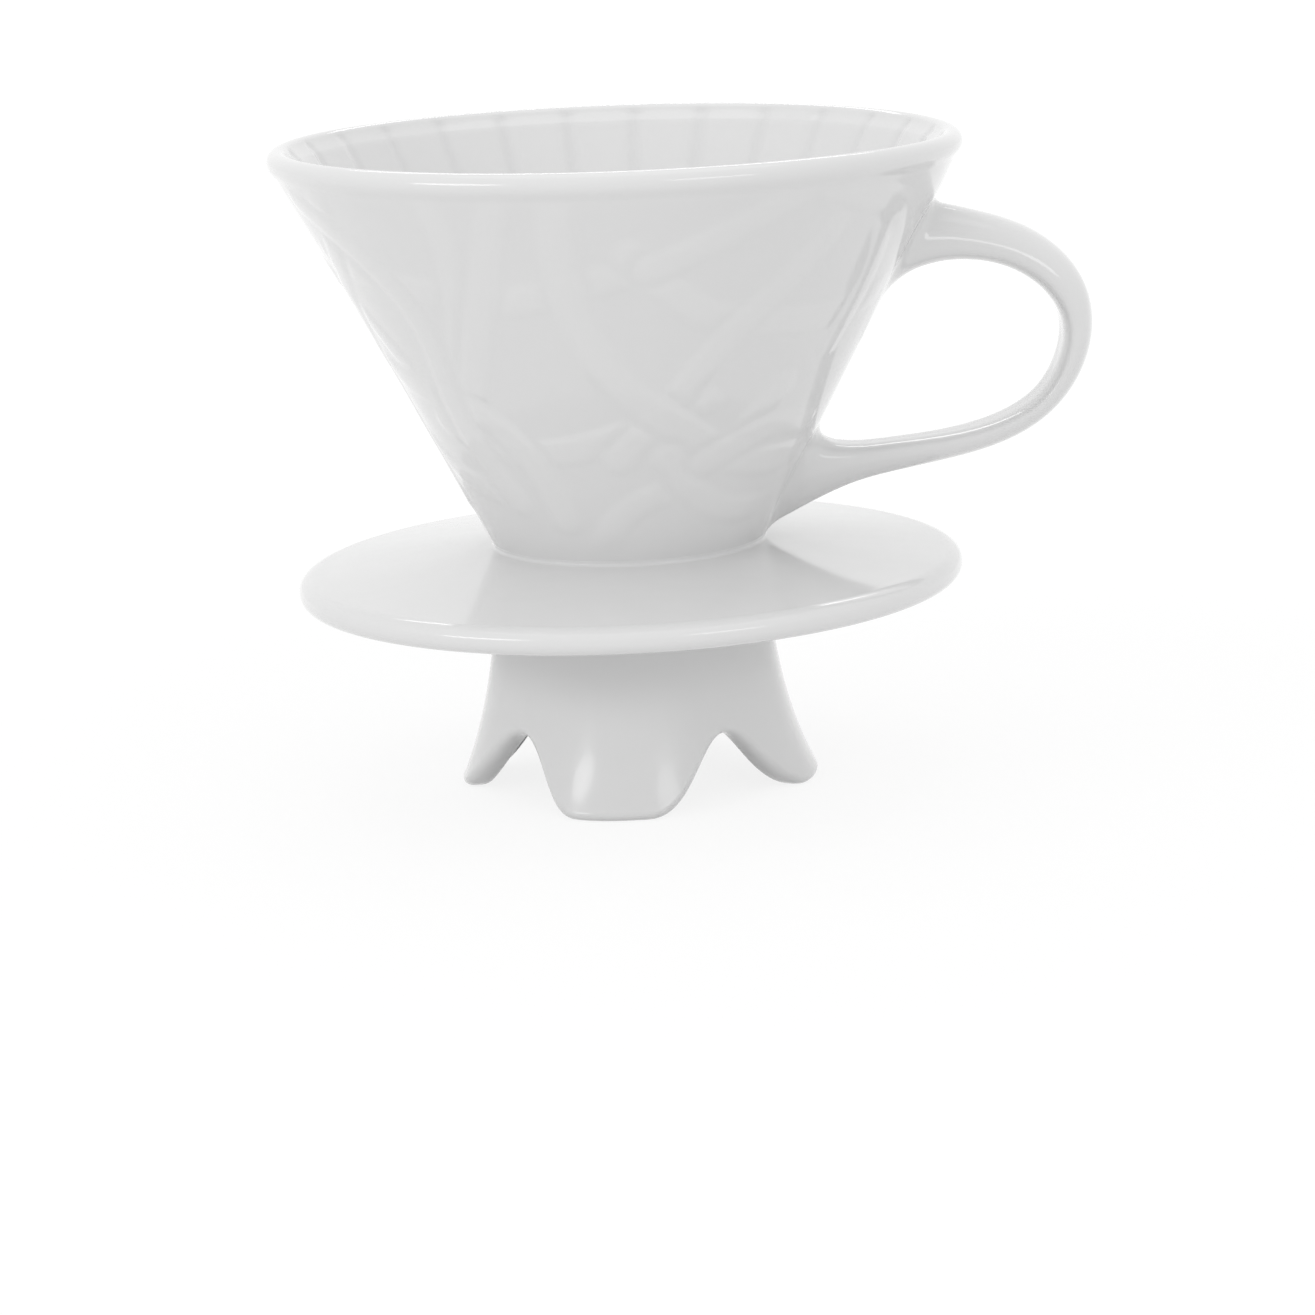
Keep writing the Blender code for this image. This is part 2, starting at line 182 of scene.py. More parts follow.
def relief(turn, z):
    """Height of the pressed bands over the plain wall, none where the handle sits."""
    tall = rim_z - neck_z
    share = (z - neck_z) / tall
    slant = tall * math.hypot(1, cone_slope)
    height = np.zeros(np.broadcast(turn, z).shape)
    for width, points in bands:
        nearest = np.full(height.shape, np.inf)
        for band_turn, band_share in smooth_through(
                [(math.radians(degrees), up) for degrees, up in points], band_points):
            around = ((turn - band_turn + np.pi) % (2 * np.pi) - np.pi) * cone_radius(z)
            up = (share - band_share) * slant
            nearest = np.minimum(nearest, around ** 2 + up ** 2)
        from_edge = (width / 2 - np.sqrt(nearest)) / band_shoulder
        # a band pushes down what it crosses, a little beyond its own edge
        cleared = 0.8 * smooth_step(from_edge + 1.3)
        crown = 0.85 + 0.15 * smooth_step(from_edge)
        height = height * (1 - cleared) + band_height * smooth_step(from_edge + 0.5) * crown
    fade = smooth_step((0.955 - share) / 0.06) * smooth_step((share - 0.03) / 0.06)
    around = ((turn + np.pi) % (2 * np.pi) - np.pi) * cone_radius(z)
    for root_z in (rim_z - handle_drop, neck_z + handle_rise):
        away = np.hypot(around / root_clear_wide, (z - root_z) / root_clear_tall)
        fade = fade * smooth_step((away - 1) / 0.5)
    # the mould is worn where the handle's seam is trimmed
    return height * fade * (1 - seam_wear * np.maximum(0, np.cos(turn)) ** 8)


def skin(name, rings, loop):
    """A smooth mesh over rings of points, closed from last to first, or capped."""
    rows, columns = rings.shape[:2]
    near = np.arange(rows * columns).reshape(rows, columns)
    beside = np.roll(near, -1, axis=1)
    faces = np.stack([near, np.roll(near, -1, axis=0), np.roll(beside, -1, axis=0), beside],
                     axis=-1)
    faces = faces[:rows if loop else rows - 1].reshape(-1, 4).tolist()
    if not loop:
        faces += [near[0].tolist(), near[-1][::-1].tolist()]
    mesh = bpy.data.meshes.new(name)
    mesh.from_pydata(rings.reshape(-1, 3).tolist(), [], faces)
    middle = rings.mean(axis=(0, 1))
    corners = rings.reshape(-1, 3)[np.array([face[:3] for face in faces])] - middle
    if np.einsum("ij,ij->", corners[:, 0], np.cross(corners[:, 1], corners[:, 2])) < 0:
        mesh.flip_normals()
    mesh.shade_smooth()
    piece = bpy.data.objects.new(name, mesh)
    bpy.context.scene.collection.objects.link(piece)
    return piece


def around_axis(radius, turn, z):
    """Points from radius, turn and height about the dripper's axis."""
    radius, turn, z = np.broadcast_arrays(radius, turn, z)
    return np.stack([axis.x + radius * np.cos(turn), axis.y + radius * np.sin(turn), z],
                    axis=-1)


def paint_pool_and_shade(piece, pool_and_shade):
    """Keep on each point how much pooled glaze and painted shade grey it, from 0 to 1."""
    pool_and_shade_layer = piece.data.attributes.new("pool_and_shade_share", "FLOAT", "POINT")
    pool_and_shade_layer.data.foreach_set("value", np.ascontiguousarray(pool_and_shade, np.float32).ravel())


class Wire:
    """A socket in a material, which can be worked with like a number."""

    def __init__(self, tree, socket=None):
        self.tree, self.socket = tree, socket

    def node(self, kind, settings, values, output=0):
        """Add a node: its settings first, then a value or a wire for each socket."""
        made = self.tree.nodes.new(kind)
        for setting, value in settings.items():
            setattr(made, setting, value)
        for socket, value in values.items():
            if isinstance(value, Wire):
                self.tree.links.new(value.socket, made.inputs[socket])
            else:
                made.inputs[socket].default_value = value
        return Wire(self.tree, made.outputs[output] if made.outputs else None)

    def maths(self, operation, first, second=0.0):
        return self.node("ShaderNodeMath", {"operation": operation}, {0: first, 1: second})

    def __add__(self, other):
        return self.maths("ADD", self, other)

    def __sub__(self, other):
        return self.maths("SUBTRACT", self, other)

    def __rsub__(self, other):
        return self.maths("SUBTRACT", other, self)

    def __mul__(self, other):
        return self.maths("MULTIPLY", self, other)

    def __gt__(self, other):
        return self.maths("GREATER_THAN", self, other)

    def __lt__(self, other):
        return self.maths("LESS_THAN", self, other)

    __radd__ = __add__
    __rmul__ = __mul__

    def noise(self, place, scale, detail):
        return self.node("ShaderNodeTexNoise", {}, {
            "Vector": place, "Scale": scale, "Detail": detail, "Roughness": 0.5})

    def mix(self, share, first, second):
        """Between two colours, as a third share says."""
        return self.node("ShaderNodeMix", {"data_type": "RGBA"}, {
            0: share, 6: first, 7: second}, output=2)

    def bump(self, height, distance, normal=None):
        values = {"Height": height, "Distance": distance, "Strength": 1.0}
        if normal:
            values["Normal"] = normal
        return self.node("ShaderNodeBump", {}, values)


glaze_white = (0.776, 0.776, 0.776, 1)
# a greyer white, for painted shade and pooled glaze in hollows, at joints and under the saucer
pool_and_shade_grey = (0.745, 0.745, 0.746, 1)
speck_grey = (0.40, 0.40, 0.40, 1)
bare_body = (0.72, 0.70, 0.66, 1)
speck_size = 0.028
speck_rarity = 0.965
orange_peel = 0.0000006


def porcelain(name, wave=0.00005, gloss_roughness=0.08, ground_z=None):
    """Glossy white glaze over a white body, greyer where glaze pools and where shade is painted
    in.
    """
    material = bpy.data.materials.new(name)
    material.use_nodes = True
    tree = material.node_tree
    tree.nodes.clear()
    start = Wire(tree)
    place = start.node("ShaderNodeTexCoord", {}, {}, output="Object")
    pool_and_shade = start.node("ShaderNodeAttribute", {"attribute_name": "pool_and_shade_share"}, {},
                       output="Fac")
    cloud = start.noise(place, 70.0, 2.0)
    # painted shade and pooled glaze: the greyer white goes where points are marked, with random
    # clouding
    colour = start.mix(pool_and_shade * 0.8 + (cloud - 0.5) * 0.5, glaze_white, pool_and_shade_grey)
    # a few grains of iron burn through as pin-head specks
    cells = {"Vector": place, "Scale": 150.0}
    grain = start.node("ShaderNodeTexVoronoi", {}, cells, output="Distance")
    cell = start.node("ShaderNodeTexVoronoi", {}, cells, output="Color")
    chance = start.node("ShaderNodeSeparateColor", {}, {"Color": cell}, output=0)
    speck = (grain < speck_size) * (chance > speck_rarity)
    colour = start.mix(speck * 0.5, colour, speck_grey)
    roughness = 0.085 + start.noise(place, 240.0, 1.0) * 0.05 - pool_and_shade * 0.03
    coat = 0.75 - speck * 0.5
    if ground_z is not None:
        # the feet are wiped clean of glaze where they stand on the kiln shelf
        height = start.node("ShaderNodeSeparateXYZ", {}, {"Vector": place}, output="Z")
        bare = height < ground_z
        colour = start.mix(bare, colour, bare_body)
        roughness = roughness + bare * 0.5
        coat = coat - bare * 0.75
    waves = start.bump(start.noise(place, 110.0, 1.0), wave)
    peel = start.bump(start.noise(place, 900.0, 1.0), orange_peel, waves)
    shader = start.node("ShaderNodeBsdfPrincipled", {}, {
        "Base Color": colour, "Roughness": roughness, "Specular IOR Level": 0.2,
        "Coat Weight": coat, "Coat Roughness": gloss_roughness, "Coat IOR": 1.5,
        "Normal": peel})
    start.node("ShaderNodeOutputMaterial", {}, {"Surface": shader})
    return material


def hand_in(piece, node, material):
    """Give a piece its glaze, and let it stand for its plain solid."""
    piece.data.materials.append(material)
    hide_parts(node)
    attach(piece, "root")


sag_depth = 0.011
rim_tilt = 0.0001
handle_sag = 0.00048
handle_spread = 0.0002


def sag(turn, z):
    """How far the bowl has sunk and spread above its handle in the kiln."""
    high = smooth_step((z - rim_z) / sag_depth + 1)
    towards = np.maximum(0, np.cos(turn)) ** 4
    sunk = high * (rim_tilt * (1 + np.cos(turn)) + handle_sag * towards)
    return sunk, handle_spread * high * towards


def bowl_rings(radius, turn, z):
    """Rings of the bowl, which has sagged in the kiln."""
    sunk, spread = sag(turn, z)
    return around_axis(radius + spread, turn, z - sunk)


turns = np.linspace(0, 2 * np.pi, panels * steps_per_panel, endpoint=False)[None, :]
lip_end = rim_z - 0.0068
in_saucer = neck_z - 0.001
outside_z = np.r_[np.linspace(lip_end, in_saucer, 140),
                  np.linspace(in_saucer, outlet_z, 10)[1:]][:, None]
outside_relief = relief(turns, outside_z)
outside = bowl_rings(wall_radius(turns, outside_z) + outside_relief, turns, outside_z)

# the inside climbs from the outlet to the lip, and rolls over it to the outside
lip_start = rim_z - 0.0026
lip_middle = lip_radius - lip_round
lip_underside = rim_z - 0.0045
throat_z = outlet_z + 0.006
low_thickening = 0.0006
inside_z = np.r_[np.linspace(outlet_z, throat_z, 14),
                 np.linspace(throat_z, lip_start, 110)[1:]]
thicker = low_thickening * smooth_step((rim_z - inside_z) / 0.02)
inside_curve = np.stack([cone_radius(inside_z) - wall - thicker, inside_z], axis=-1)
under_lip_z = np.linspace(lip_underside, lip_end, 5)
lip_curve = smooth_through(np.vstack([
    inside_curve[-1:],
    arc((lip_middle, rim_z - lip_inner_round), lip_inner_round, 150, 90, 5),
    arc((lip_middle, rim_z - lip_round), lip_round, 75, -22, 8),
    np.stack([cone_radius(under_lip_z), under_lip_z], axis=-1)]), 56)[1:-1]
curve = np.vstack([inside_curve, lip_curve])
curve_radius, curve_z = curve[:, :1], curve[:, 1:]
crest = np.argmax(curve_z)
past_crest = np.arange(len(curve))[:, None] > crest
lip_lean = past_crest * (wall_radius(turns, curve_z) - cone_radius(curve_z))
lip_relief = np.zeros(lip_lean.shape)
lip_relief[crest + 1:] = relief(turns, curve_z[crest + 1:])

# the panels are pressed from just under the rim, and fade out towards the outlet
across_panel = (turns / (2 * np.pi) * panels + panel_shift) % 1.0
from_valley = np.minimum(across_panel, 1 - across_panel)
valley = np.maximum(np.exp(-(from_valley / valley_width) ** 2),
                    panel_hollow * (1 - 2 * from_valley) ** 2)
panel_top = rim_z - 0.0002
pressed = smooth_step((panel_top - curve_z) / 0.0016)
pressed = pressed * smooth_step((curve_z - outlet_z) / 0.012) * (1 - past_crest)
inside = bowl_rings(curve_radius + lip_lean + lip_relief + panel_depth * pressed * valley,
                    turns, curve_z)

# painted shade and pooled glaze: greyer between the bands and in the valleys, but not on the
# lip's top
between_bands = 0.6
below_lip_top = smooth_step((rim_z - 0.002 - curve_z) / 0.005) * past_crest
wall_pool_and_shade = between_bands - between_bands * outside_relief / band_height
lip_pool_and_shade = between_bands - between_bands * lip_relief / band_height
lip_pool_and_shade = lip_pool_and_shade * below_lip_top + pressed * valley

bowl = skin("glazed_cone_bowl", np.concatenate([outside, inside]), loop=True)
paint_pool_and_shade(bowl, np.concatenate([wall_pool_and_shade, lip_pool_and_shade]))
hand_in(bowl, "cone_bowl", porcelain("bowl_porcelain"))


# ---- drip saucer ----------------------------------------------------------------
# A round plate, turned on the wheel and stuck on with slip where the cone passes
# through it. The joint is sponged to a small fillet, which the glaze fills.

saucer_radius = (saucer_high.x - saucer_low.x) / 2
saucer_under = saucer_low.z
saucer_edge = 0.0041
saucer_rise = neck_z - saucer_under - saucer_edge
saucer_tilt = 0.0006
level_radius = 0.026
dish_angle = math.degrees(math.atan2(saucer_rise, saucer_radius - neck_radius))
joint_fillet = 0.0012
edge_roll = 0.0031
edge_round = 0.0019
into_cone = 0.001


def eased(start, corner, end, count):
    """Points on a curve that leaves start for a corner, and bends to end before it."""
    late = np.linspace(0, 1, count)[:, None]
    return start * (1 - late) ** 2 + 2 * corner * late * (1 - late) + end * late ** 2


def neck_profile():
    """The fillet from the cone's wall onto the saucer, from its top down."""
    lean = 90 - math.degrees(math.atan(cone_slope))
    corner = np.array([cone_radius(neck_z), neck_z])
    reach = joint_fillet * math.tan(math.radians(lean + dish_angle) / 2) * 1.1
    up_wall = corner + reach * np.array([math.cos(math.radians(lean)),
                                         math.sin(math.radians(lean))])
    over_saucer = corner + reach * np.array([math.cos(math.radians(-dish_angle)),
                                             math.sin(math.radians(-dish_angle))])
    return eased(up_wall, corner, over_saucer, 12)


def saucer_rings(radius, turn, z):
    """Rings of the saucer, which was stuck on a trifle out of level."""
    out = np.maximum(0, radius - level_radius) / (saucer_radius - level_radius)
    return around_axis(radius, turn, z + saucer_tilt * out * np.cos(turn))


fillet_curve = neck_profile()
fillet_top = fillet_curve[0][1]
inside_cone = [[cone_radius(fillet_top) - into_cone, fillet_top + 0.0002]]
edge_middle = saucer_under + edge_round
roll_radius = saucer_radius - edge_roll
roll_start = np.array([roll_radius, neck_z - saucer_rise
                       * (roll_radius - neck_radius) / (saucer_radius - neck_radius)])
top_start = fillet_curve[-1]
top_curve = top_start + (roll_start - top_start) * np.linspace(0, 1, 40)[1:-1, None]
# the upper edge is sponged over, a little fuller than a plain quarter round
bend = np.linspace(0, np.pi / 2, 22)
roll_curve = np.stack([
    roll_start[0] + edge_roll * np.sin(bend) ** 0.85,
    edge_middle + (roll_start[1] - edge_middle) * np.cos(bend) ** 0.72
    - 0.0003 * np.sin(bend) * np.cos(bend)], axis=-1)
under_round = arc((saucer_radius - edge_round, edge_middle), edge_round, 0, -90, 12)[1:]
under_radius = np.linspace(under_round[-1][0], cone_radius(saucer_under) - into_cone, 30)[1:]
under_curve = np.stack([under_radius, np.full_like(under_radius, saucer_under)], axis=-1)
saucer_profile = np.concatenate([inside_cone, fillet_curve, top_curve, roll_curve,
                                 under_round, under_curve])
saucer_turns = np.linspace(0, 2 * np.pi, 288, endpoint=False)[None, :]
saucer_mesh = saucer_rings(saucer_profile[:, :1], saucer_turns, saucer_profile[:, 1:])
saucer = skin("glazed_drip_saucer", saucer_mesh, loop=True)
# painted shade: greyer round the joint of the cone and the saucer
near_neck = smooth_step(1 - (saucer_profile[:, :1] - neck_radius) / 0.006)
paint_pool_and_shade(saucer, np.broadcast_to(near_neck, saucer_mesh.shape[:2]))
hand_in(saucer, "drip_saucer", porcelain("saucer_porcelain", wave=0.00007))


# ---- foot skirt -----------------------------------------------------------------
# A flared skirt stuck under the saucer. It drops inside the mug and centres the
# dripper, and its lower edge is cut into four rounded feet with soft facets.

skirt_low, skirt_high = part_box("foot_skirt")
skirt_height = skirt_high.z
skirt_fillet = 0.0030
skirt_edge = 0.0013
skirt_radius = 0.027
seat_gap = 0.0003
neck_wall = 0.0024
foot_wall = 0.0048
foot_flare = 0.0068
feet = 4
foot_turn = math.radians(-8)
facet_turn = math.radians(-3)
foot_half_angle = math.radians(9.6)
foot_corner = 1.2
front_foot_wider = math.radians(1.6)
front_foot_skew = math.radians(1.1)
arch_height = 0.0116
arch_facet = 0.92
back_arch_taller = 0.08
facet_crispness = 13
pad_height = 0.00012
# how far three of the feet were nudged out: degrees from the handle, then metres
foot_nudges = [(-8, 0.0013), (-106, 0.0014), (172, 0.0005)]


def facet_radius(turn, distance):
    """Soft eight-sided section, with a facet for each foot and for each arch."""
    total = 0
    for side in range(2 * feet):
        facing = np.maximum(np.cos(turn - facet_turn - side * np.pi / feet), 1e-9)
        apart = distance * (1.0 if side % 2 == 0 else arch_facet)
        total = total + (facing / apart) ** facet_crispness
    return total ** (-1 / facet_crispness)


def arch(turn):
    """Height of the lower edge: zero along a foot, an arch between two feet."""
    spacing = 2 * np.pi / feet
    past_foot = (turn - foot_turn + spacing / 2) % spacing - spacing / 2
    in_front = np.cos(turn - foot_turn + spacing) > math.cos(spacing / 2)
    wider = (front_foot_wider - front_foot_skew * np.sign(past_foot)) * in_front
    half_angle = foot_half_angle + wider
    climb = (np.abs(past_foot) - half_angle) / (spacing / 2 - half_angle)
    height = arch_height * (1 + back_arch_taller * np.maximum(0, np.sin(turn)))
    return height * (0.5 - 0.5 * np.cos(np.pi * np.clip(climb, 0, 1))) ** foot_corner


top_distance = (cone_radius(skirt_height) + seat_gap + neck_wall) / arch_facet
skirt_turns = np.linspace(0, 2 * np.pi, 360, endpoint=False)[None, :]
bottom = arch(skirt_turns)
edge_slope = np.gradient(bottom[0], skirt_turns[0]) / skirt_radius
edge_tall = skirt_edge * np.sqrt(1 + edge_slope[None, :] ** 2)


def skirt_line(z):
    """Faceted, flared wall, with some of its feet nudged out while they were wet."""
    drop = np.clip(1 - z / skirt_height, 0, 1)
    line = facet_radius(skirt_turns, top_distance + foot_flare * drop ** 1.9)
    for degrees, nudge in foot_nudges:
        near = np.maximum(0, np.cos(skirt_turns - math.radians(degrees))) ** 10
        line = line + nudge * drop ** 5 * near
    return line


def skirt_outside(z):
    """The outer face, which spreads into the saucer at its top."""
    flare_out = skirt_fillet * np.maximum(0, 1 - (skirt_height - z) / skirt_fillet) ** 2
    return skirt_line(z) + flare_out


def skirt_inside(z):
    """The inner face, where the wall is thickest at the feet."""
    drop = np.clip(1 - z / skirt_height, 0, 1)
    thick = neck_wall + (foot_wall - neck_wall) * drop
    close_up = 0.0012 * np.maximum(0, 1 - (skirt_height - z) / 0.004) ** 2
    return skirt_line(z) - thick - close_up


down = np.linspace(0, 1, 60)[:, None] ** 0.8
outer_z = skirt_height + (bottom + edge_tall - skirt_height) * down
inner_z = outer_z[::-1]
outer_rings = around_axis(skirt_outside(outer_z), skirt_turns, outer_z)
inner_rings = around_axis(skirt_inside(inner_z), skirt_turns, inner_z)
edge_outer = skirt_outside(bottom + edge_tall)
edge_inner = skirt_inside(bottom + edge_tall)
over_edge = np.linspace(0, np.pi, 20)[1:-1, None]
blunt = np.sign(np.cos(over_edge)) * np.abs(np.cos(over_edge)) ** 0.68
edge_radius = (edge_outer + edge_inner) / 2 + (edge_outer - edge_inner) / 2 * blunt
edge_z = bottom + edge_tall - edge_tall * np.sin(over_edge) ** 0.85
edge_rings = around_axis(edge_radius, skirt_turns, edge_z)
skirt = skin("glazed_foot_skirt", np.concatenate([outer_rings, edge_rings, inner_rings]),
             loop=True)
# painted shade: greyer up under the saucer and high inside the skirt
paint_pool_and_shade(skirt, np.concatenate([
    smooth_step(1 - (skirt_height - outer_z) / 0.014),
    np.zeros(edge_rings.shape[:2]), smooth_step(inner_z / skirt_height)]))
# the skirt takes a thinner coat of glaze, which gives it a softer shine
hand_in(skirt, "foot_skirt",
        porcelain("skirt_porcelain", gloss_roughness=0.25, ground_z=skirt_low.z + pad_height))


# ---- outlet spout ---------------------------------------------------------------
# A short turned collar under the cone's hole, inside the skirt. Its round lower lip
# gathers the coffee, which falls from it into the mug.

spout_low, spout_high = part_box("outlet_spout")
spout_outer = (spout_high.x - spout_low.x) / 2
spout_round = 0.0018
outer_middle = (spout_outer - spout_round, spout_low.z + spout_round)
inner_middle = (outlet_radius + spout_round / 2, spout_low.z + spout_round / 2)
collar_top = outlet_z + 0.0014
collar = [(cone_radius(collar_top) + 0.00005, collar_top),
          (cone_radius(outlet_z) + 0.00012, outlet_z), (spout_outer + 0.00015, outlet_z - 0.0012),
          (spout_outer, outlet_z - 0.0026)]
spout_profile = np.concatenate([
    smooth_through(collar, 12), arc(outer_middle, spout_round, 0, -90, 10),
    arc(inner_middle, spout_round / 2, -90, -180, 8),
    [(outlet_radius, spout_low.z + 0.003), (outlet_radius, outlet_z),
     (outlet_radius + 0.0006, outlet_z + 0.0004)]])
spout_turns = np.linspace(0, 2 * np.pi, 160, endpoint=False)[None, :]
spout_rings = around_axis(spout_profile[:, :1], spout_turns, spout_profile[:, 1:])
spout = skin("glazed_outlet_spout", spout_rings, loop=True)
# the whole spout is evenly a little greyer
paint_pool_and_shade(spout, np.full(spout_rings.shape[:2], 0.3))
hand_in(spout, "outlet_spout", porcelain("spout_porcelain"))


# ---- strap handle ---------------------------------------------------------------
# A strap with a crowned outside and a nearly flat inside, pressed in its own mould
# and stuck to the cone under the lip and just above the saucer. Both roots are
# smoothed out over the wall with a wet brush.

handle_reach = cad_high.x - axis.x
strap_width = 0.0145
strap_thickness = 0.0049
strap_points = 72
strap_rings = 130
reach_trim = 0.00014
root_round = 0.0030
inner_root_rounder = 0.0020
root_hem = 0.0008
root_lowest = neck_z + 0.0003
joint_sink = 0.000012
hem_sink = 0.00008
end_sink = 0.0008


def strap_path():
    """Stations down the strap: x, z, width and thickness, worked out from its roots."""
    high, low = rim_z - handle_drop, neck_z + handle_rise
    reach = handle_reach - strap_thickness / 2 - reach_trim
    # shares: out from the root to the reach, down from the upper root to the lower
    # one, then of the strap's width and thickness
    upper = [(-0.367, 0.076, 1.41, 3.25), (0.106, 0.018, 1.145, 2.13),
             (0.320, 0.029, 1.076, 1.75), (0.665, 0.098, 1.05, 1.525),
             (0.947, 0.284, 1.03, 1.304), (0.988, 0.384, 1.00, 1.144)]
    lower = [(0.967, 0.563, 0.98, 0.960), (0.881, 0.713, 0.924, 0.844),
             (0.769, 0.800, 0.841, 0.879), (0.574, 0.871, 0.759, 0.950),
             (0.355, 0.911, 0.690, 1.14), (0.213, 0.933, 0.731, 1.45),
             (0.011, 0.952, 0.966, 2.85)]
    stations = []
    for group, root in ((upper, cone_radius(high)), (lower, cone_radius(low))):
        for out, fall, wide, deep in group:
            stations.append((root + (reach - root) * out, high + (low - high) * fall,
                             strap_width * wide, strap_thickness * deep))
    return smooth_through(stations, 240)


def strap_section(angle):
    """D-shaped section as shares of width and thickness, anticlockwise."""
    side = np.sign(np.cos(angle)) * np.abs(np.cos(angle)) ** 0.9
    rise = np.abs(np.sin(angle))
    hollow = 0.04 * np.exp(-(side / 0.5) ** 2)
    out = np.where(np.sin(angle) >= 0, 0.64 * rise, -0.36 * rise ** 0.75 + hollow)
    return side / 2, out - 0.12


def body_radius(points):
    """Radius of what a root is smoothed onto: the cone, and the fillet at its neck."""
    z = points[..., 2]
    fillet = neck_profile()[::-1]
    on_fillet = np.interp(z, fillet[:, 1], fillet[:, 0])
    turn = np.arctan2(points[..., 1], points[..., 0])
    sunk, spread = sag(turn, z)
    return np.where(z < fillet[-1][1], on_fillet, wall_radius(turn, z + sunk) + spread)


def settle(points):
    """Lay points of a root's edge just into the wall."""
    points[..., 2] = np.maximum(points[..., 2], root_lowest)
    shrink = (body_radius(points) - joint_sink) / np.hypot(points[..., 0], points[..., 1])
    return points * np.stack([shrink, shrink, np.ones_like(shrink)], axis=-1)


path = strap_path()
along = np.gradient(path[:, :2], axis=0)
along /= np.linalg.norm(along, axis=1)[:, None]
outward = np.stack([-along[:, 1], along[:, 0]], axis=-1)
section_angle = np.linspace(0, 2 * np.pi, strap_points, endpoint=False)
side, out = strap_section(section_angle)
lines = np.stack([
    path[:, None, 0] + outward[:, None, 0] * out * path[:, None, 3],
    side * path[:, None, 2],
    path[:, None, 1] + outward[:, None, 1] * out * path[:, None, 3]], axis=-1)
# both ends run on straight, well into the wall
steps = np.arange(1, 30)[:, None, None]
lines = np.concatenate([(lines[0] + (lines[0] - lines[1]) * steps)[::-1], lines,
                        lines[-1] + (lines[-1] - lines[-2]) * steps])
middle_ring = len(lines) // 2


def out_of_wall(points):
    """How far points stand out of the wall, or of the fillet at its neck."""
    return np.hypot(points[..., 0], points[..., 1]) - body_radius(points)


def root_fillet(line, away, radius):
    """From a line that runs into the wall: its free part, and a fillet to the wall."""
    clear = out_of_wall(line)
    last = np.argmax(clear < 0)
    share = clear[last - 1] / (clear[last - 1] - clear[last])
    foot = line[last - 1] + (line[last] - line[last - 1]) * share
    free = np.vstack([line[:last], foot])
    length = np.r_[0, np.cumsum(np.linalg.norm(np.diff(free, axis=0), axis=1))]
    stop = length[-1] - radius
    start = np.array([np.interp(stop, length, column) for column in free.T])
    turn = math.atan2(foot[1], foot[0])
    lean = math.atan(cone_slope)
    normal = np.array([math.cos(lean) * math.cos(turn), math.cos(lean) * math.sin(turn),
                       -math.sin(lean)])
    spread = away - normal * (away @ normal)
    spread /= np.linalg.norm(spread)
    end = settle(foot + spread * radius)
    hem = settle(foot + spread * (radius + root_hem))
    hem[:2] *= 1 - hem_sink / math.hypot(hem[0], hem[1])
    return np.vstack([free[length < stop], start]), start, foot, end, hem


columns = []
for j, angle in enumerate(section_angle):
    line = lines[:, j]
    roots = []
    for half, ring in ((line[:middle_ring + 1][::-1], 0), (line[middle_ring:], -1)):
        heading = np.array([outward[ring][0] * math.sin(angle), math.cos(angle),
                            outward[ring][1] * math.sin(angle)])
        facing_in = max(0.0, -math.sin(angle))
        roots.append(root_fillet(half, heading, root_round + inner_root_rounder * facing_in))
    columns.append(roots)

# every line down the strap, with its fillets and the hem that is wiped over the wall
grid = []
for (upper_free, *upper_root), (lower_free, *lower_root) in columns:
    free = np.vstack([upper_free[::-1], lower_free[1:]])
    length = np.r_[0, np.cumsum(np.linalg.norm(np.diff(free, axis=0), axis=1))]
    places = np.linspace(0, length[-1], strap_rings)
    strap = np.stack([np.interp(places, length, column) for column in free.T], axis=-1)
    ends = []
    for start, foot, end, hem in (upper_root, lower_root):
        ends.append(np.vstack([eased(start, foot, end, 14)[1:], hem]))
    grid.append(np.vstack([ends[0][::-1], strap, ends[1]]))
grid = np.array(grid).transpose(1, 0, 2)

# both ends close inside the wall
caps = []
for ring in (0, -1):
    cap = grid[ring].copy()
    cap[:, :2] *= (1 - end_sink / np.hypot(cap[:, 0], cap[:, 1]))[:, None]
    caps.append(cap)
grid = np.concatenate([[caps[0]], grid, [caps[1]]])
grid[..., 0] += axis.x
grid[..., 1] += axis.y
handle = skin("glazed_strap_handle", grid, loop=False)
# painted shade and pooled glaze: greyer towards both roots
from_end = np.minimum(np.arange(len(grid)), np.arange(len(grid))[::-1])[:, None]
paint_pool_and_shade(handle, np.broadcast_to(0.65 * smooth_step(1.4 - from_end / 26), grid.shape[:2]))
hand_in(handle, "handle", porcelain("handle_porcelain"))


# ---- floor, light and camera ----------------------------------------------------
# A pale table that runs to white, two soft side lamps, a wide one overhead, a narrow
# one behind, and a long lens a little above the rim.


def looked_at(start):
    """One for a ray from the lens or off a gloss, nought for one off a matt surface."""
    seen = start.node("ShaderNodeLightPath", {}, {}, output="Is Camera Ray")
    glossy = start.node("ShaderNodeLightPath", {}, {}, output="Is Glossy Ray")
    through = start.node("ShaderNodeLightPath", {}, {}, output="Is Transmission Ray")
    return seen + glossy + through


